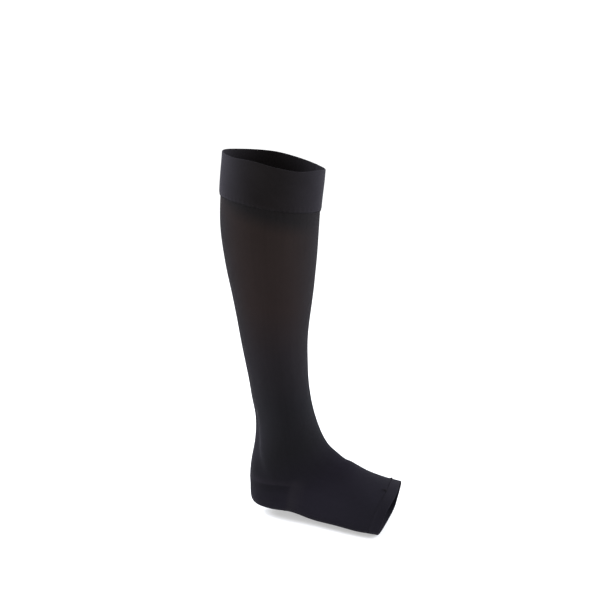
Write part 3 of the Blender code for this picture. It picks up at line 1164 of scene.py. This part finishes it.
def pocket_entry(around):
    """Where a line down the tube comes inside the pocket, found by halving."""
    low, high = np.full_like(around, SEARCH_FROM), np.full_like(around, SEARCH_TO)
    for _ in range(HALVINGS):
        middle = (low + high) / 2
        inside = inside_pocket(form_point(middle, around)) > 0
        low, high = np.where(inside, low, middle), np.where(inside, middle, high)
    return (low + high) / 2


entries = pocket_entry(MARK_TURNS)
on_edge = np.abs(inside_pocket(form_point(entries, MARK_TURNS))) < EDGE_TOLERANCE
mark_turns, mark_along = MARK_TURNS[on_edge], entries[on_edge]
mark_lift = leg_relief(mark_along, mark_turns, form_point(mark_along, mark_turns)) - MARK_BITE
mark_line = seam_line("heel_marks", mark_along, mark_turns, mark_lift, False)
heel_marks = sew(mark_line, Spacing=1.5 * MM, Stitch_length=1.1 * MM,
                 Thread_radius=0.20 * MM, Rise=0.12 * MM, Lean=math.radians(28),
                 Seed=11, Thread=foot_thread)
print("the pocket's upper edge runs over turns",
      round(mark_turns.min(), 3), "to", round(mark_turns.max(), 3))

# %% [markdown]
# ## The thread ends at the toe seam
#
# The toe seam is closed on the crest of the foot, where the sewer's last stitches make a tiny knot
# with two cut ends. A second, flatter one lies on the outer side, where the sewing began. Each is a
# loop of curve with a round bevel, turned into a mesh.

# %% Knot
KNOTS = (
    # name, metres along, turns round; in mm: size along and round, size outwards, thread radius
    ("thread_knot", HEM_START - 0.6 * MM, 0.050, 1.2, 1.7, 0.50),
    ("thread_start", HEM_START - 1.8 * MM, 0.933, 1.6, 0.8, 0.34),
)
KNOT_ROUTE = (
    # down the tube, round it, out: in knot sizes
    (-2.2, -0.9, 0.1), (-1.0, -0.4, 0.5), (0.2, 0.5, 0.9), (0.9, 0.0, 1.2), (0.3, -0.7, 0.8),
    (-0.6, -0.2, 0.5), (-0.3, 0.7, 1.0), (0.6, 0.6, 0.5), (1.2, -0.4, 0.3), (1.9, -1.3, 0.5),
)
WELD = 0.001 * MM                # points closer than this are made one


def knot(name, along, around, size, height, radius):
    along, around = np.array([along]), np.array([around])
    down, round_it, out = (axis[0] for axis in directions(along, around))
    middle = form_point(along, around)[0]
    curve = bpy.data.curves.new(name, "CURVE")
    curve.dimensions = "3D"
    curve.bevel_depth = radius * MM
    curve.bevel_resolution = 2
    curve.resolution_u = 5
    curve.use_fill_caps = True
    route = curve.splines.new("NURBS")
    route.points.add(len(KNOT_ROUTE) - 1)
    route.use_endpoint_u = True
    route.order_u = 3
    for point, (a, b, c) in zip(route.points, KNOT_ROUTE):
        spot = middle + MM * (size * (a * down + b * round_it) + height * c * out)
        point.co = (*spot, 1.0)
    shape = link(bpy.data.objects.new(name, curve))
    mesh = bpy.data.meshes.new_from_object(shape.evaluated_get(bpy.context.evaluated_depsgraph_get()))
    bpy.data.objects.remove(shape)
    welded = bmesh.new()
    welded.from_mesh(mesh)
    bmesh.ops.remove_doubles(welded, verts=welded.verts, dist=WELD)
    welded.to_mesh(mesh)
    welded.free()
    mesh.shade_smooth()
    mesh.materials.clear()
    mesh.materials.append(thread)
    return link(bpy.data.objects.new(name, mesh))


knots = [knot(*row) for row in KNOTS]
print("knots:", [len(piece.data.polygons) for piece in knots], "faces")

# %% [markdown]
# ## Fastening to the frame
#
# Every piece rides on the part's one body. The three walls stand for the three solids, and the
# sewing goes with the wall that it is on. Each wall's cut is worked out as a sheet of cloth, held
# stretched: off the form the knit springs back to about three quarters of its girth.

# %% Ride, replace and measure the cut
STRETCH_ROUND = {"leg_knit": 1.35, "top_band_knit": 1.25, "toe_hem_knit": 1.20}
STRETCH_ALONG = 1.03
WALL_PIECES = (
    (leg_knit, "leg_and_foot", "compression_knit", (heel_marks,)),
    (top_band, "top_band", "elastic_band", (band_stitches, band_seam_stitches)),
    (toe_hem, "toe_band", "toe_hem", (toe_stitches, *knots)),
)
WALL_SPANS = {"leg_knit": (LEG_TOP, HEM_START), "top_band_knit": (0, BAND_END),
              "toe_hem_knit": (HEM_START, LENGTH)}


def cut_of(name):
    """Width and length of the cloth before it is stretched, and its area."""
    start, end = WALL_SPANS[name]
    spots = np.linspace(start, end, 60)
    rounds = np.array([girth_at(spot) for spot in spots]) / STRETCH_ROUND[name]
    length = (end - start) / STRETCH_ALONG
    return rounds.max(), length, rounds.mean() * length


for wall, node, slot, sewing in WALL_PIECES:
    for piece in (wall, *sewing):
        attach(piece, BODY)
    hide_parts(node)
    width, length, area = cut_of(wall.name)
    low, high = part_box(node)
    corners = np.array([vertex.co for vertex in wall.data.vertices])
    print(f"{wall.name}: cut {width / MM:.0f} x {length / MM:.0f} mm, {area * 1e4:.0f} square cm;",
          "past its solid by", np.round((low - Vector(corners.min(axis=0))) / MM, 1),
          np.round((Vector(corners.max(axis=0)) - high) / MM, 1), "mm")
